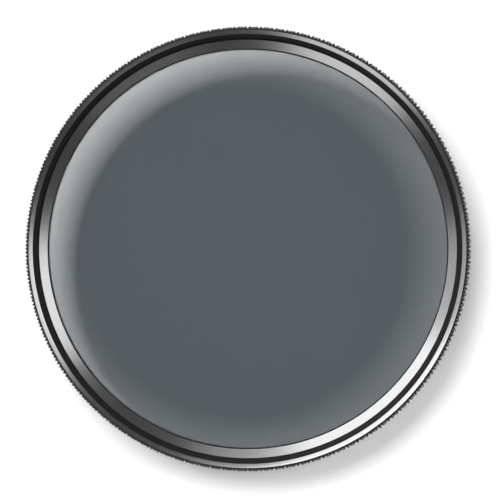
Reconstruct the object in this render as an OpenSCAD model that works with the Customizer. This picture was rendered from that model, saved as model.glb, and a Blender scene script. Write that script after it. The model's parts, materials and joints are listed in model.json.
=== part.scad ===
// Screw-in circular polarising filter: a rear mount ring with a male lens thread, and a front ring
// that carries the glass and turns on the mount ring round a sprung wire.
// The rear end of the male thread lies on z = 0, the front faces +Z, and Z is the turning axis.

/* [Lens thread] */
// Nominal diameter of the lens thread
thread_d = 77; // [49:1:95]
// Pitch of the lens thread
thread_pitch = 0.75; // [0.5:0.05:1]
// Radial play of each thread's plain surface from the nominal diameter
thread_play = 0.05; // [0.02:0.01:0.1]
// Height of the male thread, from the flange to the rear end
male_thread_h = 2.8; // [2.4:0.1:4]
// Height of the turned relief between the male thread and the flange
relief_h = 0.5; // [0.3:0.1:0.8]
// Depth of the female thread in the front ring
female_thread_h = 2; // [1.2:0.1:3]

/* [Mount ring] */
// Wall left between the root of the male thread and the bore
mount_wall = 0.5; // [0.4:0.02:1]
// Height of the knurled flange
flange_h = 2; // [1.4:0.1:3]
// How far the root of the flange's knurl stands out from the lens thread
flange_w = 1.7; // [1.2:0.01:3]
// Number of teeth round the flange
mount_teeth = 260; // [120:1:300]
// Height of the flange's teeth
mount_tooth_h = 0.42; // [0.2:0.02:0.5]
// Chamfer round the top of the flange, which shows between the front ring's teeth
flange_chamfer = 0.7; // [0.3:0.05:0.8]

/* [Front ring] */
// Number of teeth round the front ring
front_teeth = 369; // [150:1:400]
// Height of the front ring's teeth
front_tooth_h = 0.47; // [0.2:0.01:0.5]
// Width of the chamfer between the top of the rim and the roots of the teeth
rim_chamfer_w = 0.19; // [0.1:0.01:0.5]
// Width of the flat on top of the rim
rim_land_w = 0.06; // [0.04:0.01:0.3]
// Width of the bright bevel that falls from the rim towards the thread
rim_bevel_w = 0.69; // [0.3:0.01:1.2]
// Drop of the rim's bevel
rim_bevel_h = 0.35; // [0.2:0.05:1]
// Lead-in chamfer of the female thread
mouth_w = 0.24; // [0.1:0.02:0.4]
// Width of the flat floor between the female thread and the inner bevel
floor_w = 0.63; // [0.5:0.01:1.2]
// Drop of the inner bevel, from the floor to the land beside the glass
inner_bevel_h = 0.72; // [0.4:0.02:1.6]
// Width of the flat land at the foot of the inner bevel
land_w = 0.17; // [0.1:0.01:0.4]
// Thickness of the lip that the glass seats against
lip_h = 0.4; // [0.3:0.05:1]
// How far the lip covers the edge of the glass
seat_w = 0.62; // [0.3:0.01:0.8]
// Height of the glass seat above the underside of the knurled head
seat_rise = 0.4; // [0.2:0.05:1]
// Wall of the sleeve that holds the glass and turns in the mount ring
sleeve_wall = 0.6; // [0.5:0.05:1.2]
// How far the sleeve reaches past the retaining ring
sleeve_lap = 0.15; // [0.05:0.05:0.3]

/* [Bearing] */
// Radial clearance of the sleeve in the mount ring's bore
running_gap = 0.05; // [0.03:0.01:0.08]
// Clearance between the faces of the two knurled rings
face_gap = 0.15; // [0.1:0.05:0.3]
// Diameter of the split wire that joins the rings
wire_d = 0.5; // [0.4:0.05:0.6]
// How deep the wire sits in the mount ring's groove
wire_seat = 0.25; // [0.2:0.01:0.3]
// Clearance of the wire in the groove that holds it
wire_play = 0.01; // [0.005:0.005:0.03]
// Opening between the ends of the split wire, in degrees
wire_split = 8; // [4:1:30]

/* [Glass] */
// Thickness of each glass disc
glass_t = 1; // [0.8:0.05:1.2]
// Radial clearance of the glass in the sleeve
glass_gap = 0.05; // [0.03:0.01:0.1]
// Ground chamfer on the edges of each glass disc
glass_chamfer = 0.12; // [0.05:0.01:0.2]
// Thickness of the polarising film with its cement
polariser_t = 0.2; // [0.1:0.05:0.3]
// Thickness of the quarter-wave film with its cement
retarder_t = 0.1; // [0.05:0.05:0.2]

/* [Retaining ring] */
// Height of the retaining ring
retainer_h = 1; // [0.7:0.05:1.2]
// Radial width of the retaining ring
retainer_w = 0.5; // [0.4:0.05:1.5]
// Radial clearance of the retaining ring in the sleeve
retainer_gap = 0.03; // [0.02:0.01:0.05]
// Number of spanner slots in the rear face of the retaining ring
slot_count = 2; // [2:1:6]
// Width of each spanner slot
slot_w = 1.4; // [0.8:0.1:3]
// Depth of each spanner slot
slot_depth = 0.5; // [0.2:0.05:0.6]

/* [Edges] */
// Chamfer round the lower end of each knurl
grip_chamfer = 0.35; // [0.2:0.05:0.5]
// Chamfer that breaks the other turned edges
edge_chamfer = 0.1; // [0.05:0.05:0.15]

/* [Hidden] */
$fn = 240;

// Depth of a 60 degree thread as a share of its pitch
thread_depth_share = 0.6134;
// Angle between a flank of the thread and a plane across its axis
thread_flank_angle = 30;
// Flat top of a knurl tooth as a share of the tooth pitch
tooth_flat_share = 0.16;
// How far a cutting tool runs past the face that it cuts
overcut = 1;

anodised = "#26272a";
steel = "#9a9c9e";
grey_glass = [0.33, 0.36, 0.37, 0.75];
dark_film = [0.2, 0.21, 0.24, 0.8];
clear_film = [0.6, 0.62, 0.58, 0.5];

thread_r = thread_d / 2;
thread_depth = thread_depth_share * thread_pitch;
thread_root_r = thread_r - thread_depth;
male_r = thread_r - thread_play;
female_r = thread_r + thread_play;
male_lead = male_r - thread_root_r;
// The threading tool's own flank, left in the relief's corner where the flange's seat begins
relief_flank_h = thread_depth * tan(thread_flank_angle);

mount_bore_r = thread_root_r - mount_wall;
mount_root_r = thread_r + flange_w;
mount_tip_r = mount_root_r + mount_tooth_h;
flange_z = male_thread_h;
flange_top_z = flange_z + flange_h;

sleeve_r = mount_bore_r - running_gap;
cell_r = sleeve_r - sleeve_wall;
glass_r = cell_r - glass_gap;
aperture_r = cell_r - seat_w;
land_r = aperture_r + land_w;
floor_r = female_r - floor_w;
mouth_r = female_r + mouth_w;
rim_bevel_r = mouth_r + rim_bevel_w;
rim_edge_r = rim_bevel_r + rim_land_w;
front_root_r = rim_edge_r + rim_chamfer_w;
front_tip_r = front_root_r + front_tooth_h;

head_z = flange_top_z + face_gap;
seat_z = head_z + seat_rise;
land_z = seat_z + lip_h;
floor_z = land_z + inner_bevel_h;
mouth_z = floor_z + female_thread_h;
rim_foot_z = mouth_z + mouth_w;
rim_z = rim_foot_z + rim_bevel_h;
rim_shoulder_z = rim_z - (front_tip_r - rim_edge_r);

front_glass_z = seat_z - glass_t;
polariser_z = front_glass_z - polariser_t;
retarder_z = polariser_z - retarder_t;
rear_glass_z = retarder_z - glass_t;
retainer_z = rear_glass_z - retainer_h;
retainer_r = cell_r - retainer_gap;
sleeve_z = retainer_z - sleeve_lap;

wire_r = wire_d / 2;
wire_z = flange_z + flange_h / 2;
mount_groove_r = mount_bore_r + wire_seat;
wire_path_r = mount_groove_r - wire_play - wire_r;
sleeve_groove_r = wire_path_r - wire_r - running_gap;
groove_rise = wire_r + running_gap;

// Corners of a straight knurl seen end on: one root and two tip corners a tooth
function knurl_outline(teeth, root_r, tip_r) = [
    for (i = [0 : teeth - 1])
        for (corner = [[0, root_r], [0.5 - tooth_flat_share / 2, tip_r],
                [0.5 + tooth_flat_share / 2, tip_r]])
            let (turn = 360 * (i + corner[0]) / teeth)
                corner[1] * [cos(turn), sin(turn)]
];

// A turned blank, with its largest diameter knurled by a straight-toothed wheel
module knurled(teeth, root_r, tip_r, low_z, high_z) {
    intersection() {
        rotate_extrude() children();
        translate([0, 0, low_z - overcut])
            linear_extrude(high_z - low_z + 2 * overcut)
                polygon(knurl_outline(teeth, root_r, tip_r));
    }
}

module mount_ring_section() {
    polygon([
        [mount_bore_r + edge_chamfer, 0],
        [male_r - male_lead, 0],
        [male_r, male_lead],
        [male_r, flange_z - relief_h],
        [thread_root_r, flange_z - relief_h],
        [thread_root_r, flange_z - relief_flank_h],
        [thread_r, flange_z],
        [mount_tip_r - grip_chamfer, flange_z],
        [mount_tip_r, flange_z + grip_chamfer],
        [mount_tip_r, flange_top_z - flange_chamfer],
        [mount_tip_r - flange_chamfer, flange_top_z],
        [mount_bore_r + edge_chamfer, flange_top_z],
        [mount_bore_r, flange_top_z - edge_chamfer],
        [mount_bore_r, wire_z + groove_rise],
        [mount_groove_r, wire_z + groove_rise],
        [mount_groove_r, wire_z - groove_rise],
        [mount_bore_r, wire_z - groove_rise],
        [mount_bore_r, edge_chamfer]
    ]);
}

module front_ring_section() {
    polygon([
        [cell_r, sleeve_z],
        [sleeve_r - edge_chamfer, sleeve_z],
        [sleeve_r, sleeve_z + edge_chamfer],
        [sleeve_r, wire_z - groove_rise],
        [sleeve_groove_r, wire_z - groove_rise],
        [sleeve_groove_r, wire_z + groove_rise],
        [sleeve_r, wire_z + groove_rise],
        [sleeve_r, head_z],
        [front_tip_r - grip_chamfer, head_z],
        [front_tip_r, head_z + grip_chamfer],
        [front_tip_r, rim_shoulder_z],
        [rim_edge_r, rim_z],
        [rim_bevel_r, rim_z],
        [mouth_r, rim_foot_z],
        [female_r, mouth_z],
        [female_r, floor_z],
        [floor_r, floor_z],
        [land_r, land_z],
        [aperture_r, land_z],
        [aperture_r, seat_z],
        [cell_r, seat_z]
    ]);
}

// A round disc with both edges ground to a small chamfer, standing on z = 0
module ground_disc(r, thickness, chamfer) {
    rotate_extrude()
        polygon([
            [0, 0],
            [r - chamfer, 0],
            [r, chamfer],
            [r, thickness - chamfer],
            [r - chamfer, thickness],
            [0, thickness]
        ]);
}

module mount_ring() {
    color(anodised)
        knurled(mount_teeth, mount_root_r, mount_tip_r, 0, flange_top_z)
            mount_ring_section();
}

module front_ring() {
    color(anodised)
        knurled(front_teeth, front_root_r, front_tip_r, sleeve_z, rim_z)
            front_ring_section();
}

module spring_wire() {
    color(steel)
        translate([0, 0, wire_z])
            rotate([0, 0, wire_split / 2])
                rotate_extrude(angle = 360 - wire_split)
                    translate([wire_path_r, 0])
                        circle(r = wire_r);
}

module front_glass() {
    color(grey_glass)
        translate([0, 0, front_glass_z])
            ground_disc(glass_r, glass_t, glass_chamfer);
}

module polariser_film() {
    color(dark_film)
        translate([0, 0, polariser_z])
            cylinder(r = glass_r - glass_chamfer, h = polariser_t);
}

module retarder_film() {
    color(clear_film)
        translate([0, 0, retarder_z])
            cylinder(r = glass_r - glass_chamfer, h = retarder_t);
}

module rear_glass() {
    color(grey_glass)
        translate([0, 0, rear_glass_z])
            ground_disc(glass_r, glass_t, glass_chamfer);
}

module retaining_ring() {
    color(anodised)
        difference() {
            translate([0, 0, retainer_z])
                rotate_extrude()
                    polygon([
                        [retainer_r - retainer_w + edge_chamfer, 0],
                        [retainer_r - edge_chamfer, 0],
                        [retainer_r, edge_chamfer],
                        [retainer_r, retainer_h],
                        [retainer_r - retainer_w, retainer_h],
                        [retainer_r - retainer_w, edge_chamfer]
                    ]);
            for (i = [0 : slot_count - 1])
                rotate([0, 0, 360 * i / slot_count])
                    translate([retainer_r - retainer_w - overcut, -slot_w / 2, retainer_z - overcut])
                        cube([retainer_w + 2 * overcut, slot_w, slot_depth + overcut]);
        }
}

mount_ring();
front_ring();
spring_wire();
front_glass();
polariser_film();
retarder_film();
rear_glass();
retaining_ring();
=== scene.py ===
"""Looks of a screw-in circular polarising filter: knurled and threaded rings, the cemented glass
stack and its finishes, lying on a pale studio floor under soft light."""

import json
import math

import bmesh
import bpy
import numpy as np
from bpy.props import FloatProperty, FloatVectorProperty, IntProperty, PointerProperty
from mathutils import Matrix, Vector

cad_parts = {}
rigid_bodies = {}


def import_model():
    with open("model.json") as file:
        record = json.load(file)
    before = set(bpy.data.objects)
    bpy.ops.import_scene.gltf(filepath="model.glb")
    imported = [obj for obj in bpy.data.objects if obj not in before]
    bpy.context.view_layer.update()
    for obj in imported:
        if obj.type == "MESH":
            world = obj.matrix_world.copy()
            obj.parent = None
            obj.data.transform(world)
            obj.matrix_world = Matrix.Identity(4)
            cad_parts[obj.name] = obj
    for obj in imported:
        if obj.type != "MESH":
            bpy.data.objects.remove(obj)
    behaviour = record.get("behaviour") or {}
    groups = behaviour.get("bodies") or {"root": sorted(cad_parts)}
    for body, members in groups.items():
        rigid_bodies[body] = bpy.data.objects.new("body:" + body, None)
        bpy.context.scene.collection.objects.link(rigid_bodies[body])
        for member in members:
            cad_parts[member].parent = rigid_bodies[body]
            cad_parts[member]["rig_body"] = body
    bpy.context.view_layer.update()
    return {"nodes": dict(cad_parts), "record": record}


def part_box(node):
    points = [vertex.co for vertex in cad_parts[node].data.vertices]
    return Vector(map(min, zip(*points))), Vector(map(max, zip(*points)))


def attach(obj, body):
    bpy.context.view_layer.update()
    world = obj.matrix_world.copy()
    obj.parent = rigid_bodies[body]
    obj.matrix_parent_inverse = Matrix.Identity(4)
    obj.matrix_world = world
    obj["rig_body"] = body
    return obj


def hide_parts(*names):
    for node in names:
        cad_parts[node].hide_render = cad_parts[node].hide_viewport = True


bl_info = {
    "name": "Screw-in lens filter",
    "version": (1, 0, 0),
    "blender": (4, 5, 0),
    "location": "3D View > Sidebar > Lens filter",
    "description": "Rings, threads, glass and finishes of a two-ring lens filter",
    "category": "Add Mesh",
}

MM = 0.001
TURN = 2 * math.pi

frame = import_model()
MOUNTS = {mount["name"]: mount for mount in frame["record"]["mounts"]}

# Levels and radii that the frame gives, in metres
MOUNT_LOW, MOUNT_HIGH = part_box("mount_ring")
FRONT_LOW, FRONT_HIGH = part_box("front_ring")
GLASS_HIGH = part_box("front_glass")[1]
WIRE_LOW, WIRE_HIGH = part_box("spring_wire")
MALE_R = MOUNTS["lens_thread"]["dims"]["r_mm"] * MM
FEMALE_R = MOUNTS["front_thread"]["dims"]["r_mm"] * MM
FEMALE_H = MOUNTS["front_thread"]["dims"]["length_mm"] * MM
FLOOR_Z = MOUNTS["front_thread"]["pos_m"][2] - FEMALE_H / 2
FLANGE_Z = MOUNTS["flange_seat"]["pos_m"][2]
WIRE_Z = (WIRE_LOW.z + WIRE_HIGH.z) / 2
WIRE_R = (WIRE_HIGH.z - WIRE_LOW.z) / 2

# Thread form as shares of the pitch: a nearly flat crest and root, with 60 degrees between flanks
CREST_HALF = 1 / 16
ROOT_START = 3 / 8
THREAD_PHASES = (0, CREST_HALF, (CREST_HALF + ROOT_START) / 2, ROOT_START, 0.5,
                 1 - ROOT_START, 1 - (CREST_HALF + ROOT_START) / 2, 1 - CREST_HALF)
THREAD_HEIGHTS = (1, 0.94, 0.5, 0.06, 0, 0.06, 0.5, 0.94)
# Depths of the threads as shares of the pitch. The female one's includes its play.
MALE_DEPTH_SHARE = 0.6134
FEMALE_DEPTH_SHARE = 0.608

# Columns of grid round a plain disc
DISC_COLUMNS = 288
# Gap left on each face of a film, so that it shares no face with the glass
FILM_INSET = 0.005 * MM
# Points nearer than this are welded into one
WELD = 0.0002 * MM
# Corners sharper than this stay crisp
CRISP_ANGLE = math.radians(11)
# Flat tip of a tooth as a share of the tooth pitch
TOOTH_FLAT_SHARE = 0.16
# Most of either side that an eased corner may take
EASE_LIMIT = 1 / 3
# Bright bands of the sections, counted from the first row of their part: the chamfer in the mount
# ring's grip, the bevel in the front ring's crown, and the inner bevel in its inside
CHAMFER_BANDS = (3,)
RIM_BEVEL_BANDS = (2, 3, 4)
INNER_BEVEL_BANDS = (1, 2, 3)

# Detail of every noise, and the range that holds most of its values
NOISE_DETAIL = 2.0
NOISE_RANGE = (0.3, 0.7)
# Darkest and lightest shade of each finish, as shares of its own colour
BLACK_SHADES = (0.85, 1.15)
TURNED_SHADES = (0.9, 1.1)
STEEL_SHADES = (0.85, 1.1)
FILM_SHADES = (0.9, 1.1)
# How far a finish's roughness wavers to either side
BLACK_WAVER = 0.04
TURNED_WAVER = 0.03
# Depth of each finish's bump
BLACK_BUMP = 0.004 * MM
TURNED_BUMP = 0.001 * MM
STEEL_BUMP = 0.0005 * MM
GLASS_BUMP = 0.0001 * MM
# Rubbed tips of a knurl: the width of the rub, the most of it that shows, its shade, the range of
# noise that breaks it up, and the share that is left in its thinnest patches
RUB_WIDTH = 0.2 * MM
RUB_MOST = 0.6
RUB_SHADE = 4.0
RUB_NOISE = (0.35, 0.65)
RUB_LEAST = 0.35


def length(name, description, millimetres):
    """A length property in metres, with its default given in millimetres."""
    return FloatProperty(name=name, description=description, default=millimetres * MM,
                         min=0, precision=5, unit="LENGTH", subtype="DISTANCE")


def angle(name, description, degrees):
    """An angle property, with its default given in degrees."""
    return FloatProperty(name=name, description=description, default=math.radians(degrees),
                         unit="ROTATION", subtype="ANGLE")


def factor(name, description, value, top=1.0):
    """A plain factor from nought to top."""
    return FloatProperty(name=name, description=description, default=value, min=0, max=top,
                         subtype="FACTOR" if top == 1.0 else "NONE")


def colour(name, description, value):
    """A linear colour property."""
    return FloatVectorProperty(name=name, description=description, default=value, size=3,
                               min=0, max=1, subtype="COLOR")


class LENSFILTER_PG_thread(bpy.types.PropertyGroup):
    pitch: length("Pitch", "Pitch of both lens threads", 0.75)
    play: length("Play", "Radial play of the male thread inside its nominal diameter", 0.05)
    fade: length("Fade", "Height over which a thread runs out into its relief", 0.15)


class LENSFILTER_PG_mount_ring(bpy.types.PropertyGroup):
    teeth: IntProperty(name="Teeth", description="Teeth round the flange", default=260, min=3)
    tooth: length("Tooth", "Height of the flange's teeth", 0.42)
    root: length("Root", "Radius of the roots of the flange's knurl", 40.2)
    wall: length("Wall", "Wall between the root of the thread and the bore", 0.5)
    relief: length("Relief", "Height of the relief between thread and flange", 0.5)
    relief_flank: length("Relief flank", "Height of the flank in the relief's corner", 0.2656)
    groove: length("Groove", "Depth of the wire's groove in the bore", 0.25)
    chamfer: length("Chamfer", "Chamfer round the top of the flange", 0.7)
    dark_tip: length("Dark tip", "Width of the tips that the bright chamfer leaves black", 0.08)


class LENSFILTER_PG_front_ring(bpy.types.PropertyGroup):
    teeth: IntProperty(name="Teeth", description="Teeth round the rim", default=369, min=3)
    tooth: length("Tooth", "Height of the rim's teeth", 0.47)
    rim_chamfer: length("Rim chamfer", "Width from the top of the rim to the roots", 0.19)
    rim_land: length("Rim land", "Width of the flat on top of the rim", 0.06)
    rim_bevel: length("Rim bevel", "Width of the rim's bevel", 0.69)
    rim_drop: length("Rim drop", "Drop of the rim's bevel", 0.35)
    mouth: length("Mouth", "Lead-in chamfer of the thread", 0.24)
    floor: length("Floor", "Width of the floor beside the thread", 0.63)
    inner_drop: length("Inner drop", "Drop of the inner bevel", 0.72)
    land: length("Land", "Width of the land at the glass", 0.17)
    seat: length("Seat", "How far the lip covers the glass", 0.62)
    head: length("Head", "Underside of the head below the glass seat", 0.4)
    sleeve: length("Sleeve", "Wall of the sleeve that holds the glass", 0.6)
    glass_gap: length("Glass gap", "Radial clearance round the glass", 0.05)
    groove: length("Groove", "Depth of the wire's groove in the sleeve", 0.26)


class LENSFILTER_PG_edges(bpy.types.PropertyGroup):
    grip: length("Grip chamfer", "Chamfer round the lower end of each knurl", 0.35)
    turned: length("Turned chamfer", "Chamfer on the other turned edges", 0.1)
    ease: length("Ease", "How far a visible turned corner is eased", 0.03)
    groove_play: length("Groove play", "Room above and below the wire", 0.05)


class LENSFILTER_PG_finish(bpy.types.PropertyGroup):
    anodised: colour("Anodised", "Black anodised aluminium", (0.010, 0.010, 0.0105))
    bevel: colour("Bevel", "Turned bevels under a thin dark anodic layer", (0.21, 0.21, 0.213))
    chamfer: colour("Chamfer", "Satin chamfer of the mount ring's flange", (0.36, 0.36, 0.364))
    steel: colour("Steel", "Drawn spring wire", (0.5, 0.5, 0.51))
    glass: colour("Glass", "What one glass disc lets through", (0.952, 0.984, 0.995))
    film: colour("Film", "Body colour of the polarising film", (0.01, 0.012, 0.014))
    bevel_roughness: factor("Bevel roughness", "Roughness of the bright bevels", 0.22)
    chamfer_roughness: factor("Chamfer roughness", "Roughness of the satin chamfer", 0.85)
    anodised_roughness: factor("Anodised roughness", "Roughness of the black rings", 0.42)
    anodised_gloss: factor("Anodised gloss", "Specular level of the black rings", 0.1)
    film_density: factor("Film density", "Light that each face of the film stops", 0.526)
    retarder_density: factor("Retarder density", "Light that each retarder face stops", 0.02)


class LENSFILTER_PG_studio(bpy.types.PropertyGroup):
    distance: length("Distance", "Camera distance from the front of the filter", 400)
    frame_width: length("Frame width", "Width of the picture at the filter", 90.1)
    lean: angle("Lean", "How far the camera stands from straight above", 2.2)
    lean_turn: angle("Lean turn", "Side that it leans to, anticlockwise from the right", 0)
    aim_x: FloatProperty(name="Aim X", description="Where the camera looks, across",
                         default=0.605 * MM, precision=5, unit="LENGTH", subtype="DISTANCE")
    aim_y: FloatProperty(name="Aim Y", description="Where the camera looks, up the picture",
                         default=-0.2 * MM, precision=5, unit="LENGTH", subtype="DISTANCE")
    floor: colour("Floor", "Pale floor", (0.95, 0.95, 0.95))
    floor_glow: factor("Floor glow", "Light added to the floor where it is looked at", 0.09)
    sky: factor("Sky", "Brightness of the room above the horizon", 0.17, 5)
    card: factor("Card", "Brightness of the card over the filter", 4.2, 20)
    card_rim: factor("Card rim", "Brightness of the even ring round the card's hole", 1.2, 20)


class LENSFILTER_PG_settings(bpy.types.PropertyGroup):
    thread: PointerProperty(type=LENSFILTER_PG_thread)
    mount_ring: PointerProperty(type=LENSFILTER_PG_mount_ring)
    front_ring: PointerProperty(type=LENSFILTER_PG_front_ring)
    edges: PointerProperty(type=LENSFILTER_PG_edges)
    finish: PointerProperty(type=LENSFILTER_PG_finish)
    studio: PointerProperty(type=LENSFILTER_PG_studio)


def eased(corners):
    """An outline of (radius, height, ease) corners as (radius, height) points. A corner with an
    ease becomes two points, that far back along its two sides, but never past EASE_LIMIT of one.
    The first and last corners have none."""
    corners = np.array(corners, float)
    points = corners[:, :2]
    to_last = np.roll(points, 1, axis=0) - points
    to_next = np.roll(points, -1, axis=0) - points
    back = []
    for side in (to_last, to_next):
        reach = np.linalg.norm(side, axis=1)
        back.append(points + side * np.minimum(corners[:, 2] / reach, EASE_LIMIT)[:, None])
    both = np.stack(back, axis=1).reshape(-1, 2)
    doubled = np.stack((np.ones(len(points), bool), corners[:, 2] > 0), axis=1).ravel()
    return both[doubled]


def knurl_columns(teeth, root, tip):
    """Angles and radii of a straight knurl seen end on, three columns a tooth: one in the root and
    two at the corners of the flat tip. The last column stands a full turn on from the first."""
    corners = np.array((0, 0.5 - TOOTH_FLAT_SHARE / 2, 0.5 + TOOTH_FLAT_SHARE / 2))
    angles = (np.arange(teeth)[:, None] + corners).ravel() * TURN / teeth
    radii = np.tile((root, tip, tip), teeth)
    return np.append(angles, TURN), np.append(radii, root)


def even_rows(points, angles):
    """Rows of a turned surface: each (radius, height) point repeated at every angle."""
    radii, heights = np.repeat(np.array(points, float).T[:, :, None], len(angles), axis=2)
    return radii, heights


def thread_rows(low, high, pitch, angles):
    """Heights of the rows of a right-hand thread, and how far each point stands up the thread form
    from root to crest. Each row climbs one pitch a turn, so height = low + pitch x (row's phase +
    turns), held between low and high, and a row ends where the row one pitch above it began."""
    turns = angles / TURN
    count = math.ceil((high - low) / pitch) + 1
    phases = (np.arange(-1, count)[:, None] + np.array(THREAD_PHASES)).ravel()
    heights = np.clip(low + pitch * (phases[:, None] + turns), low, high)
    form = np.interp((heights - low) / pitch - turns, THREAD_PHASES, THREAD_HEIGHTS, period=1)
    return heights, form


def joined_section(parts):
    """One closed section from its parts in order, each the radii and heights of its rows and the
    places of its bright bands. Also the finish of each band: 1 where it is bright, 0 elsewhere."""
    radii, heights, bright = zip(*parts)
    finishes = [np.isin(np.arange(len(rows)), bands) for rows, bands in zip(radii, bright)]
    return np.vstack(radii), np.vstack(heights), np.concatenate(finishes)


def ring_mesh(name, radii, heights, angles, finishes):
    """A closed ring on a grid. The point in row i and column j stands at (radius x cosine of the
    column's angle, radius x sine, height), and the rows follow the section anticlockwise, seen with
    the radius to the right. The last row joins the first, and the last column, a full turn on, is
    welded to the first. finishes gives the material of the band above each row."""
    points = np.stack((radii * np.cos(angles), radii * np.sin(angles), heights), axis=-1)
    index = np.arange(radii.size).reshape(radii.shape)
    above = np.roll(index, -1, axis=0)
    quads = np.stack((index[:, :-1], index[:, 1:], above[:, 1:], above[:, :-1]), axis=-1)
    mesh = bpy.data.meshes.new(name)
    mesh.from_pydata(points.reshape(-1, 3), [], quads.reshape(-1, 4))
    bands = np.repeat(np.asarray(finishes, np.int32), radii.shape[1] - 1)
    mesh.polygons.foreach_set("material_index", bands)
    welded = bmesh.new()
    welded.from_mesh(mesh)
    bmesh.ops.remove_doubles(welded, verts=welded.verts, dist=WELD)
    bare = [edge for edge in welded.edges if not edge.link_faces]
    bmesh.ops.delete(welded, geom=bare, context="EDGES")
    open_edges = sum(not edge.is_manifold for edge in welded.edges)
    volume = welded.calc_volume(signed=True)
    welded.to_mesh(mesh)
    welded.free()
    if open_edges or volume <= 0:
        raise RuntimeError(f"{name}: {open_edges} open edges, volume {volume:g}")
    mesh.polygons.foreach_set("use_smooth", np.ones(len(mesh.polygons), bool))
    mesh.set_sharp_from_angle(angle=CRISP_ANGLE)
    return mesh


def add_piece(name, mesh, materials, node):
    """A piece that stands for a node of the frame, rides on that node's body and has its slot."""
    piece = bpy.data.objects.new(name, mesh)
    bpy.context.scene.collection.objects.link(piece)
    for material in materials:
        mesh.materials.append(material)
    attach(piece, frame["nodes"][node]["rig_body"])
    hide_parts(node)


def disc_mesh(name, low, high, radius):
    """A closed round disc: a rectangle from the axis out to radius, turned round the axis. The
    points on the axis weld into one pole on each face."""
    corners = ((0, low), (radius, low), (radius, high), (0, high))
    angles = np.linspace(0, TURN, DISC_COLUMNS + 1)
    return ring_mesh(name, *even_rows(corners, angles), angles, np.zeros(len(corners)))


def add_node(tree, kind, values=(), **settings):
    """A node with its settings, and each socket in values set or joined to another socket."""
    node = tree.nodes.new(kind)
    for name, value in settings.items():
        setattr(node, name, value)
    for name, value in dict(values).items():
        if isinstance(value, bpy.types.NodeSocket):
            tree.links.new(value, node.inputs[name])
        else:
            node.inputs[name].default_value = value
    return node


def maths(tree, operation, first, second):
    """The result of one Math node."""
    return add_node(tree, "ShaderNodeMath", {0: first, 1: second}, operation=operation).outputs[0]


def remap(tree, value, low, high, new_low, new_high, smooth="LINEAR"):
    """A value carried from one range to another and held there."""
    node = add_node(tree, "ShaderNodeMapRange", {
        "Value": value, "From Min": low, "From Max": high, "To Min": new_low,
        "To Max": new_high}, interpolation_type=smooth)
    return node.outputs["Result"]


def blend_colours(tree, share, first, second):
    """A mix of two colours. The Mix node's sockets for them are inputs 6 and 7 and output 2."""
    return add_node(tree, "ShaderNodeMix", {"Factor": share, 6: first, 7: second},
                    data_type="RGBA").outputs[2]


def two_shades(tree, share, rgb, shades):
    """A linear colour that goes from the first of its two shades to the second."""
    dark, light = (with_alpha(rgb, shade) for shade in shades)
    return blend_colours(tree, share, dark, light)


def wavering(tree, noise, middle, reach):
    """A value that a noise carries as far as reach to either side of its middle."""
    return remap(tree, noise, *NOISE_RANGE, middle - reach, middle + reach)


def new_group(name, inputs, outputs):
    """An empty shader node group with named number sockets, and its input and output nodes."""
    group = bpy.data.node_groups.new(name, "ShaderNodeTree")
    for label, value in inputs.items():
        socket = group.interface.new_socket(name=label, in_out="INPUT",
                                            socket_type="NodeSocketFloat")
        socket.default_value = value
    for label in outputs:
        group.interface.new_socket(name=label, in_out="OUTPUT", socket_type="NodeSocketFloat")
    return group, group.nodes.new("NodeGroupInput"), group.nodes.new("NodeGroupOutput")


def object_place(tree):
    """The point in the frame's own coordinates."""
    return add_node(tree, "ShaderNodeTexCoord").outputs["Object"]


def axis_distance(tree, place):
    """The distance of a point from the turning axis."""
    flat = add_node(tree, "ShaderNodeVectorMath", {0: place, 1: (1, 1, 0)},
                    operation="MULTIPLY").outputs["Vector"]
    return add_node(tree, "ShaderNodeVectorMath", {0: flat}, operation="LENGTH").outputs["Value"]


def fine_noise(tree, place, size):
    """Noise whose patches are about size metres across."""
    scale = maths(tree, "DIVIDE", 1.0, size)
    return add_node(tree, "ShaderNodeTexNoise", {
        "Vector": place, "Scale": scale, "Detail": NOISE_DETAIL}).outputs[0]


def turned_grain_group():
    """Lathe lines that run round the axis, mixed with blasted speckle. Height is for a bump and
    changes as fine as it, and Patches is a slow variation for roughness and colour."""
    group, given, result = new_group("turned_grain", {
        "Line Pitch": 0.05 * MM, "Speckle Size": 0.06 * MM, "Patch Size": 6 * MM,
        "Line Share": 0.5}, ("Height", "Patches"))
    place = object_place(group)
    steps = maths(group, "DIVIDE", axis_distance(group, place), given.outputs["Line Pitch"])
    lines = add_node(group, "ShaderNodeTexNoise", {
        "W": steps, "Scale": 1.0, "Detail": NOISE_DETAIL}, noise_dimensions="1D").outputs[0]
    speckle = fine_noise(group, place, given.outputs["Speckle Size"])
    lined = maths(group, "MULTIPLY", lines, given.outputs["Line Share"])
    plain_share = maths(group, "SUBTRACT", 1.0, given.outputs["Line Share"])
    height = maths(group, "ADD", lined, maths(group, "MULTIPLY", speckle, plain_share))
    group.links.new(height, result.inputs["Height"])
    patches = fine_noise(group, place, given.outputs["Patch Size"])
    group.links.new(patches, result.inputs["Patches"])
    return group


def edge_rub_group():
    """Where fingers polish the knurl: full at the Outer radius, gone at the Inner one, and broken
    into patches of noise."""
    group, given, result = new_group("edge_rub", {
        "Inner": 40 * MM, "Outer": 41 * MM, "Patch Size": 1.5 * MM}, ("Mask",))
    place = object_place(group)
    near_edge = remap(group, axis_distance(group, place), given.outputs["Inner"],
                      given.outputs["Outer"], 0.0, 1.0, "SMOOTHSTEP")
    patches = fine_noise(group, place, given.outputs["Patch Size"])
    broken = remap(group, patches, *RUB_NOISE, RUB_LEAST, 1.0)
    group.links.new(maths(group, "MULTIPLY", near_edge, broken), result.inputs["Mask"])
    return group


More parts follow.
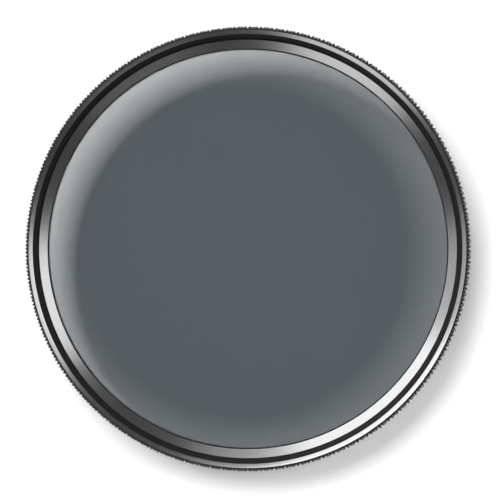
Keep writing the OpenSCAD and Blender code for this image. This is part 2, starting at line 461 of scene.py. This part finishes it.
def polish_group():
    """The faint unevenness of polished glass or cast film: Haze for roughness, and Height for a
    bump or a change of shade, both from slow noise."""
    group, given, result = new_group("polish", {
        "Wave Size": 9 * MM, "Haze": 0.01}, ("Haze", "Height"))
    place = object_place(group)
    waves = fine_noise(group, place, given.outputs["Wave Size"])
    group.links.new(maths(group, "MULTIPLY", waves, given.outputs["Haze"]),
                    result.inputs["Haze"])
    group.links.new(waves, result.inputs["Height"])
    return group


def place_group(tree, name, build, values):
    """A shared effect placed in a material with its own values. Its group is built the first time
    that it is asked for."""
    group = bpy.data.node_groups.get(name) or build()
    return add_node(tree, "ShaderNodeGroup", values, node_tree=group)


def bare_material(name):
    """A material with an empty node tree and its output node."""
    material = bpy.data.materials.new(name)
    material.use_nodes = True
    tree = material.node_tree
    tree.nodes.clear()
    return material, tree, tree.nodes.new("ShaderNodeOutputMaterial")


def with_alpha(rgb, shade=1.0):
    """A linear colour, made lighter or darker, as the four numbers that a socket takes."""
    return (*(min(channel * shade, 1.0) for channel in rgb), 1.0)


def bump(tree, height, depth):
    """A bump whose full height is depth metres."""
    return add_node(tree, "ShaderNodeBump", {
        "Height": height, "Distance": depth, "Strength": 1.0}).outputs["Normal"]


def black_anodised(name, finish, rub_radius):
    """Satin black anodised aluminium, blasted before it was anodised, with the tips of its knurl
    rubbed a little lighter. The rub grows over RUB_WIDTH and is full at rub_radius."""
    material, tree, out = bare_material(name)
    grain = place_group(tree, "turned_grain", turned_grain_group, {
        "Speckle Size": 0.05 * MM, "Line Share": 0.3})
    rub = place_group(tree, "edge_rub", edge_rub_group, {
        "Inner": rub_radius - RUB_WIDTH, "Outer": rub_radius})
    patches = grain.outputs["Patches"]
    body = two_shades(tree, patches, finish.anodised, BLACK_SHADES)
    worn = blend_colours(tree, maths(tree, "MULTIPLY", rub.outputs["Mask"], RUB_MOST), body,
                         with_alpha(finish.anodised, RUB_SHADE))
    shader = add_node(tree, "ShaderNodeBsdfPrincipled", {
        "Base Color": worn,
        "Roughness": wavering(tree, patches, finish.anodised_roughness, BLACK_WAVER),
        "Specular IOR Level": finish.anodised_gloss,
        "Normal": bump(tree, grain.outputs["Height"], BLACK_BUMP)})
    tree.links.new(shader.outputs["BSDF"], out.inputs["Surface"])
    return material


def turned_metal(name, base, shine_roughness):
    """A face turned after blasting: metal that shows the lamps as soft patches, with fine lathe
    lines round it."""
    material, tree, out = bare_material(name)
    grain = place_group(tree, "turned_grain", turned_grain_group, {
        "Line Pitch": 0.03 * MM, "Line Share": 0.6})
    height = grain.outputs["Height"]
    shader = add_node(tree, "ShaderNodeBsdfPrincipled", {
        "Base Color": two_shades(tree, height, base, TURNED_SHADES), "Metallic": 1.0,
        "Roughness": wavering(tree, height, shine_roughness, TURNED_WAVER),
        "Normal": bump(tree, height, TURNED_BUMP)})
    tree.links.new(shader.outputs["BSDF"], out.inputs["Surface"])
    return material


def drawn_steel(name, finish):
    """Bright drawn wire with faint draw marks."""
    material, tree, out = bare_material(name)
    grain = place_group(tree, "turned_grain", turned_grain_group, {
        "Line Pitch": 0.02 * MM, "Speckle Size": 0.02 * MM, "Line Share": 0.8})
    height = grain.outputs["Height"]
    shader = add_node(tree, "ShaderNodeBsdfPrincipled", {
        "Base Color": two_shades(tree, height, finish.steel, STEEL_SHADES), "Metallic": 1.0,
        "Roughness": 0.3, "Normal": bump(tree, height, STEEL_BUMP)})
    tree.links.new(shader.outputs["BSDF"], out.inputs["Surface"])
    return material


def filter_glass(name, finish):
    """Polished glass with a faint cool tint. Lamps reach what lies behind it, because rays to the
    lamps pass through it as through a clear tinted sheet."""
    material, tree, out = bare_material(name)
    polish = place_group(tree, "polish", polish_group, {"Haze": 0.012})
    shader = add_node(tree, "ShaderNodeBsdfPrincipled", {
        "Base Color": with_alpha(finish.glass), "Roughness": polish.outputs["Haze"],
        "IOR": 1.5, "Transmission Weight": 1.0,
        "Normal": bump(tree, polish.outputs["Height"], GLASS_BUMP)})
    clear = add_node(tree, "ShaderNodeBsdfTransparent", {"Color": with_alpha(finish.glass)})
    rays = add_node(tree, "ShaderNodeLightPath")
    mixed = add_node(tree, "ShaderNodeMixShader", {
        0: rays.outputs["Is Shadow Ray"], 1: shader.outputs["BSDF"], 2: clear.outputs["BSDF"]})
    tree.links.new(mixed.outputs["Shader"], out.inputs["Surface"])
    return material


def optical_film(name, body, density):
    """A film cemented between the glasses. It has no gloss of its own and stops the share density
    of the light at each of its two faces, and its body colour changes slowly over the sheet."""
    material, tree, out = bare_material(name)
    polish = place_group(tree, "polish", polish_group, {"Wave Size": 14 * MM})
    shader = add_node(tree, "ShaderNodeBsdfPrincipled", {
        "Base Color": two_shades(tree, polish.outputs["Height"], body, FILM_SHADES),
        "Roughness": 0.5, "Specular IOR Level": 0.0, "Alpha": density})
    tree.links.new(shader.outputs["BSDF"], out.inputs["Surface"])
    return material


def mount_ring_rows(settings, angles, knurl):
    """Rows of the mount ring's section, anticlockwise from the foot of its bore: out to the thread,
    up it and its relief, out under the flange, up the knurl, in over its chamfer and the top, and
    down the bore past the wire's groove. The knurl's rows take the tooth's radius in each column.
    Also the finish of each band: 1 on the chamfer short of its dark tips, and 0 elsewhere."""
    size, edges, thread = settings.mount_ring, settings.edges, settings.thread
    nominal = MALE_R + thread.play
    root = nominal - MALE_DEPTH_SHARE * thread.pitch
    bore = root - size.wall
    top = MOUNT_HIGH.z
    tip = knurl.max()
    thread_top = FLANGE_Z - size.relief
    heights, form = thread_rows(MOUNT_LOW.z, thread_top, thread.pitch, angles)
    fade = np.clip((thread_top - heights) / thread.fade, 0, 1)
    # The blank that the thread is cut in, with a 45 degree lead-in from the root
    blank = np.minimum(MALE_R, root + heights - MOUNT_LOW.z)
    threaded = np.minimum(root + (MALE_R - root) * form * fade, blank)
    foot = even_rows(((bore + edges.turned, MOUNT_LOW.z),), angles)
    relief = even_rows(((root, FLANGE_Z - size.relief_flank), (nominal, FLANGE_Z)), angles)
    # 45 degree cones cut the teeth at both ends, so on each of them height changes by as much as
    # radius does
    low_r = np.minimum(knurl, tip - edges.grip)
    bright_r = np.minimum(knurl, tip - size.dark_tip)
    crown_r = np.minimum(knurl, tip - size.chamfer)
    grip = (np.stack((low_r, knurl, knurl, bright_r, crown_r)),
            np.stack((np.full_like(knurl, FLANGE_Z), FLANGE_Z + knurl - low_r,
                      top - knurl + crown_r, top - bright_r + crown_r, np.full_like(knurl, top))))
    groove = WIRE_R + edges.groove_play
    inside = even_rows((
        (bore + edges.turned, top),
        (bore, top - edges.turned),
        (bore, WIRE_Z + groove),
        (bore + size.groove, WIRE_Z + groove),
        (bore + size.groove, WIRE_Z - groove),
        (bore, WIRE_Z - groove),
        (bore, MOUNT_LOW.z + edges.turned),
    ), angles)
    return joined_section(((*foot, ()), (threaded, heights, ()), (*relief, ()),
                           (*grip, CHAMFER_BANDS), (*inside, ())))


def front_ring_rows(settings, angles, knurl):
    """Rows of the front ring's section, anticlockwise from the foot of the glass cell: out and up
    the sleeve past the wire's groove, out under the head, up the knurl, over the rim, down its
    bevel and the thread, in over the floor, down the inner bevel to the land, and round the lip to
    the glass seat. Also the finish of each band: 1 on the two bevels and 0 elsewhere."""
    size, edges, thread = settings.front_ring, settings.edges, settings.thread
    rim, foot = FRONT_HIGH.z, FRONT_LOW.z
    bore_r = GLASS_HIGH.x + size.glass_gap
    sleeve = bore_r + size.sleeve
    aperture = bore_r - size.seat
    land = aperture + size.land
    floor_r = FEMALE_R - size.floor
    mouth = FEMALE_R + size.mouth
    bevel = mouth + size.rim_bevel
    rim_edge = bevel + size.rim_land
    seat_z = GLASS_HIGH.z
    head_z = seat_z - size.head
    land_z = FLOOR_Z - size.inner_drop
    bevel_foot = rim - size.rim_drop
    crest = FEMALE_R - FEMALE_DEPTH_SHARE * thread.pitch
    groove = WIRE_R + edges.groove_play
    outside = even_rows((
        (bore_r, foot),
        (sleeve - edges.turned, foot),
        (sleeve, foot + edges.turned),
        (sleeve, WIRE_Z - groove),
        (sleeve - size.groove, WIRE_Z - groove),
        (sleeve - size.groove, WIRE_Z + groove),
        (sleeve, WIRE_Z + groove),
        (sleeve, head_z),
    ), angles)
    # One 45 degree cone cuts the lower end of the teeth, and another rises over them to the rim
    low_r = np.minimum(knurl, knurl.max() - edges.grip)
    grip = (np.stack((low_r, knurl, knurl)),
            np.stack((np.full_like(knurl, head_z), head_z + knurl - low_r,
                      rim - knurl + rim_edge)))
    # The narrow land on top of the rim has room for only part of an ease at each of its edges
    ease_drop = edges.ease * size.rim_drop / size.rim_bevel
    crown = even_rows((
        (rim_edge + edges.ease / 2, rim - edges.ease / 2),
        (rim_edge - edges.ease / 2, rim),
        (bevel + edges.ease / 3, rim),
        (bevel - edges.ease, rim - ease_drop),
        (mouth + edges.ease, bevel_foot + ease_drop),
    ), angles)
    heights, form = thread_rows(FLOOR_Z, bevel_foot, thread.pitch, angles)
    fade = np.clip((heights - FLOOR_Z) / thread.fade - 1, 0, 1)
    # The 45 degree lead-in that widens to the mouth
    cone = mouth - (bevel_foot - heights)
    threaded = np.maximum(FEMALE_R - (FEMALE_R - crest) * form * fade, cone)
    inside = even_rows(eased((
        (FEMALE_R, FLOOR_Z, 0),
        (floor_r, FLOOR_Z, edges.ease),
        (land, land_z, edges.ease),
        (aperture, land_z, edges.ease),
        (aperture, seat_z, edges.ease),
        (bore_r, seat_z, 0),
    )), angles)
    return joined_section(((*outside, ()), (*grip, ()), (*crown, RIM_BEVEL_BANDS),
                           (threaded[::-1], heights[::-1], ()), (*inside, INNER_BEVEL_BANDS)))


class LENSFILTER_OT_mount_ring(bpy.types.Operator):
    """Make the threaded mount ring with its coarse knurl"""

    bl_idname = "lens_filter.mount_ring"
    bl_label = "Mount ring"

    def execute(self, context):
        settings = context.scene.lens_filter
        size = settings.mount_ring
        tip = size.root + size.tooth
        angles, knurl = knurl_columns(size.teeth, size.root, tip)
        radii, heights, finishes = mount_ring_rows(settings, angles, knurl)
        mesh = ring_mesh("threaded_mount_ring", radii, heights, angles, finishes)
        finish = settings.finish
        materials = (black_anodised("mount_ring_black", finish, tip),
                     turned_metal("mount_ring_chamfer", finish.chamfer, finish.chamfer_roughness))
        add_piece("threaded_mount_ring", mesh, materials, "mount_ring")
        return {"FINISHED"}


class LENSFILTER_OT_front_ring(bpy.types.Operator):
    """Make the front ring with its fine knurl, bright bevels and thread"""

    bl_idname = "lens_filter.front_ring"
    bl_label = "Front ring"

    def execute(self, context):
        settings = context.scene.lens_filter
        size = settings.front_ring
        root = FEMALE_R + size.mouth + size.rim_bevel + size.rim_land + size.rim_chamfer
        tip = root + size.tooth
        angles, knurl = knurl_columns(size.teeth, root, tip)
        radii, heights, finishes = front_ring_rows(settings, angles, knurl)
        mesh = ring_mesh("knurled_front_ring", radii, heights, angles, finishes)
        finish = settings.finish
        materials = (black_anodised("front_ring_black", finish, tip),
                     turned_metal("front_ring_bevels", finish.bevel, finish.bevel_roughness))
        add_piece("knurled_front_ring", mesh, materials, "front_ring")
        return {"FINISHED"}


class LENSFILTER_OT_glass_stack(bpy.types.Operator):
    """Finish the two glass discs and make the films between them"""

    bl_idname = "lens_filter.glass_stack"
    bl_label = "Glass stack"

    def execute(self, context):
        finish = context.scene.lens_filter.finish
        glass = filter_glass("polished_glass", finish)
        for node in ("front_glass", "rear_glass"):
            frame["nodes"][node].material_slots[0].material = glass
        films = (
            ("polariser_disc", "polariser_film", "polarising_film", finish.film,
             finish.film_density),
            ("retarder_disc", "retarder_film", "retarding_film", finish.glass,
             finish.retarder_density),
        )
        for name, node, slot, body, density in films:
            low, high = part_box(node)
            mesh = disc_mesh(name, low.z + FILM_INSET, high.z - FILM_INSET, high.x)
            add_piece(name, mesh, (optical_film(slot, body, density),), node)
        return {"FINISHED"}


class LENSFILTER_OT_small_parts(bpy.types.Operator):
    """Finish the retaining ring and the split wire"""

    bl_idname = "lens_filter.small_parts"
    bl_label = "Retaining ring and wire"

    def execute(self, context):
        finish = context.scene.lens_filter.finish
        # Fingers don't reach the retaining ring, so the rub would only start well outside it
        rub_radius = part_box("retaining_ring")[1].x + MM
        matt = black_anodised("retaining_ring_black", finish, rub_radius)
        frame["nodes"]["retaining_ring"].material_slots[0].material = matt
        frame["nodes"]["spring_wire"].material_slots[0].material = drawn_steel("wire", finish)
        return {"FINISHED"}


# Softboxes round the filter: name, azimuth, elevation, width and height in degrees, brightness.
# Azimuth is anticlockwise from the right of the picture. The top one casts the short shadow, and
# the two wings soften the key's ends.
SOFTBOXES = (
    ("top", 126, 61, 36, 16, 8.9),
    ("key", 131, 42, 36, 26, 3.95),
    ("key_right_wing", 95, 42, 22, 26, 0.85),
    ("key_left_wing", 168, 42, 26, 26, 1.45),
    ("right", 15, 42, 25, 26, 3.9),
    ("lower_left", 237.5, 42, 25, 24, 2.7),
    ("lower_right", 300, 42, 26, 20, 0.3),
)
LAMP_DISTANCE = 1.3
# Card over the filter: its height and half width, and the radii at which the glow round its hole
# starts and is full. Both holes stand off from what the middle of the glass mirrors: the first
# brings its glow into the upper left of the glass, and the second a weaker one all round its edge.
CARD_HEIGHT = 3.0
CARD_RADIUS = 0.54
CARD_HOLE = (0.296, 0.3455)
CARD_SHIFT = Vector((0.034, -0.0325))
CARD_RIM_HOLE = (0.25, 0.309)
CARD_RIM_SHIFT = Vector((-0.0086, -0.0054))
# Shares of the card's half width between which its glow fades out
CARD_EDGE = (0.8, 0.95)
# Floor: its half width, the size of the grain in its paint, and the shades of it
FLOOR_HALF_WIDTH = 4.0
FLOOR_GRAIN = 0.8 * MM
FLOOR_SHADES = (0.98, 1.02)
# Elevations between which the white horizon falls to the dim room
HORIZON_FADE = (math.radians(6), math.radians(24))
# Clear faces that a ray may pass, more than the glass stack and the card have
CLEAR_FACES = 24
# Corners of a level square, anticlockwise seen from above
SQUARE = np.array(((-1, -1), (1, -1), (1, 1), (-1, 1)))


def add_softbox(name, azimuth, elevation, width, height, brightness):
    """A rectangular lamp that faces the filter and spans the given angles. Its power is its
    brightness x pi x its area."""
    lamp = bpy.data.lights.new(name, "AREA")
    lamp.shape = "RECTANGLE"
    lamp.size = 2 * LAMP_DISTANCE * math.tan(math.radians(width) / 2)
    lamp.size_y = 2 * LAMP_DISTANCE * math.tan(math.radians(height) / 2)
    lamp.energy = brightness * math.pi * lamp.size * lamp.size_y
    box = bpy.data.objects.new(name, lamp)
    turn, lift = math.radians(azimuth), math.radians(elevation)
    out = Vector((math.cos(turn) * math.cos(lift), math.sin(turn) * math.cos(lift),
                  math.sin(lift)))
    box.location = out * LAMP_DISTANCE
    box.rotation_euler = out.to_track_quat("Z", "Y").to_euler()
    box.visible_camera = False
    bpy.context.scene.collection.objects.link(box)


def add_sheet(name, corners, half_width, height, material):
    """A level square sheet, centred on the turning axis, whose corners go round anticlockwise on
    the side that it faces."""
    mesh = bpy.data.meshes.new(name)
    mesh.from_pydata(np.column_stack((corners * half_width, np.full(4, height))), [],
                     [(0, 1, 2, 3)])
    mesh.materials.append(material)
    sheet = bpy.data.objects.new(name, mesh)
    bpy.context.scene.collection.objects.link(sheet)
    return sheet


def card_glow(tree, centre, hole, brightness):
    """A glow that is nought inside the hole and full outside it, with a soft edge between."""
    offset = add_node(tree, "ShaderNodeVectorMath", {
        0: object_place(tree), 1: (centre.x, centre.y, 0.0)},
                      operation="SUBTRACT").outputs["Vector"]
    return remap(tree, axis_distance(tree, offset), *hole, 0.0, brightness)


def add_card(studio, lens):
    """A glowing card over the camera with a dark round hole for the lens. The hole is a little off
    centre, so that the card's soft edge shows in the upper left of the glass, and a weaker even
    glow shows all round the edge of the glass. The middle of the glass mirrors the point of the
    card on the other side of the axis from the lens, further out by the ratio of their heights
    over the glass."""
    middle = -lens.xy * (CARD_HEIGHT - GLASS_HIGH.z) / (lens.z - GLASS_HIGH.z)
    material, tree, out = bare_material("card_glow")
    glow = maths(tree, "ADD", card_glow(tree, middle + CARD_SHIFT, CARD_HOLE, studio.card),
                 card_glow(tree, middle + CARD_RIM_SHIFT, CARD_RIM_HOLE, studio.card_rim))
    fade_start, fade_end = CARD_EDGE
    edge = remap(tree, axis_distance(tree, object_place(tree)), CARD_RADIUS * fade_start,
                 CARD_RADIUS * fade_end, 1.0, 0.0)
    lit = add_node(tree, "ShaderNodeEmission", {
        "Color": (1, 1, 1, 1), "Strength": maths(tree, "MULTIPLY", glow, edge)})
    clear = add_node(tree, "ShaderNodeBsdfTransparent")
    both = add_node(tree, "ShaderNodeAddShader", {0: lit.outputs[0], 1: clear.outputs[0]})
    tree.links.new(both.outputs[0], out.inputs["Surface"])
    card = add_sheet("overhead_card", SQUARE[::-1], CARD_RADIUS, CARD_HEIGHT, material)
    card.visible_camera = False


def add_floor(studio):
    """A wide pale floor under the filter, in a matt paint with a faint grain. It glows a little for
    the rays that look at it, so that it turns white away from the shadow."""
    material, tree, out = bare_material("floor_paint")
    grain = fine_noise(tree, object_place(tree), FLOOR_GRAIN)
    matt = add_node(tree, "ShaderNodeBsdfDiffuse", {
        "Color": two_shades(tree, grain, studio.floor, FLOOR_SHADES)})
    rays = add_node(tree, "ShaderNodeLightPath").outputs
    looks = maths(tree, "MAXIMUM", rays["Is Camera Ray"],
                  maths(tree, "MAXIMUM", rays["Is Glossy Ray"], rays["Is Transmission Ray"]))
    glow = add_node(tree, "ShaderNodeEmission", {
        "Color": (1, 1, 1, 1), "Strength": maths(tree, "MULTIPLY", looks, studio.floor_glow)})
    both = add_node(tree, "ShaderNodeAddShader", {0: matt.outputs[0], 1: glow.outputs[0]})
    tree.links.new(both.outputs[0], out.inputs["Surface"])
    floor = add_sheet("studio_floor", SQUARE, FLOOR_HALF_WIDTH, 0, material)


def set_world(studio):
    """A white horizon that falls to a dim room above, as in a white sweep under a dark ceiling."""
    world = bpy.data.worlds.new("studio_room")
    world.use_nodes = True
    tree = world.node_tree
    tree.nodes.clear()
    direction = add_node(tree, "ShaderNodeTexCoord").outputs["Generated"]
    up = add_node(tree, "ShaderNodeSeparateXYZ", {0: direction}).outputs["Z"]
    fade_start, fade_end = HORIZON_FADE
    glow = remap(tree, up, math.sin(fade_start), math.sin(fade_end), 1.0, studio.sky,
                 "SMOOTHSTEP")
    back = add_node(tree, "ShaderNodeBackground", {"Color": (1, 1, 1, 1), "Strength": glow})
    out = tree.nodes.new("ShaderNodeOutputWorld")
    tree.links.new(back.outputs[0], out.inputs["Surface"])
    bpy.context.scene.world = world


def add_camera(studio):
    """A long lens over the filter, a little off straight above, with the top of the picture
    towards +Y."""
    data = bpy.data.cameras.new("camera")
    data.lens = data.sensor_width * studio.distance / studio.frame_width
    camera = bpy.data.objects.new("camera", data)
    aim = Vector((studio.aim_x, studio.aim_y, FRONT_HIGH.z))
    back = Vector((math.sin(studio.lean) * math.cos(studio.lean_turn),
                   math.sin(studio.lean) * math.sin(studio.lean_turn), math.cos(studio.lean)))
    across = Vector((0, 1, 0)).cross(back).normalized()
    turned = Matrix((across, back.cross(across), back)).transposed()
    camera.rotation_mode = "QUATERNION"
    camera.rotation_quaternion = turned.to_quaternion()
    camera.location = aim + back * studio.distance
    bpy.context.scene.collection.objects.link(camera)
    bpy.context.scene.camera = camera
    return camera.location


class LENSFILTER_OT_stage(bpy.types.Operator):
    """Set up the floor, soft lamps, room and camera"""

    bl_idname = "lens_filter.stage"
    bl_label = "Stage"

    def execute(self, context):
        studio = context.scene.lens_filter.studio
        add_floor(studio)
        lens = add_camera(studio)
        add_card(studio, lens)
        for softbox in SOFTBOXES:
            add_softbox(*softbox)
        set_world(studio)
        context.scene.view_settings.view_transform = "Standard"
        context.scene.cycles.transparent_max_bounces = CLEAR_FACES
        return {"FINISHED"}


OPERATORS = (LENSFILTER_OT_mount_ring, LENSFILTER_OT_front_ring, LENSFILTER_OT_glass_stack,
             LENSFILTER_OT_small_parts, LENSFILTER_OT_stage)


class LENSFILTER_PT_sidebar(bpy.types.Panel):
    """Sizes, finishes and steps of the lens filter"""

    bl_idname = "LENSFILTER_PT_sidebar"
    bl_label = "Lens filter"
    bl_space_type = "VIEW_3D"
    bl_region_type = "UI"
    bl_category = "Lens filter"

    def draw(self, context):
        settings = context.scene.lens_filter
        for group in ("thread", "mount_ring", "front_ring", "edges", "finish", "studio"):
            box = self.layout.box()
            box.label(text=group.replace("_", " ").capitalize())
            values = getattr(settings, group)
            for name in values.bl_rna.properties.keys():
                if name not in ("rna_type", "name"):
                    box.prop(values, name)
        for operator in OPERATORS:
            self.layout.operator(operator.bl_idname)


CLASSES = (LENSFILTER_PG_thread, LENSFILTER_PG_mount_ring, LENSFILTER_PG_front_ring,
           LENSFILTER_PG_edges, LENSFILTER_PG_finish, LENSFILTER_PG_studio,
           LENSFILTER_PG_settings, *OPERATORS, LENSFILTER_PT_sidebar)


def register():
    for cls in CLASSES:
        bpy.utils.register_class(cls)
    bpy.types.Scene.lens_filter = PointerProperty(type=LENSFILTER_PG_settings)


def unregister():
    del bpy.types.Scene.lens_filter
    for cls in reversed(CLASSES):
        bpy.utils.unregister_class(cls)


def main():
    """Makes every piece and the stage in order."""
    register()
    bpy.ops.lens_filter.mount_ring()
    bpy.ops.lens_filter.front_ring()
    bpy.ops.lens_filter.glass_stack()
    bpy.ops.lens_filter.small_parts()
    bpy.ops.lens_filter.stage()


if __name__ == "__main__":
    main()
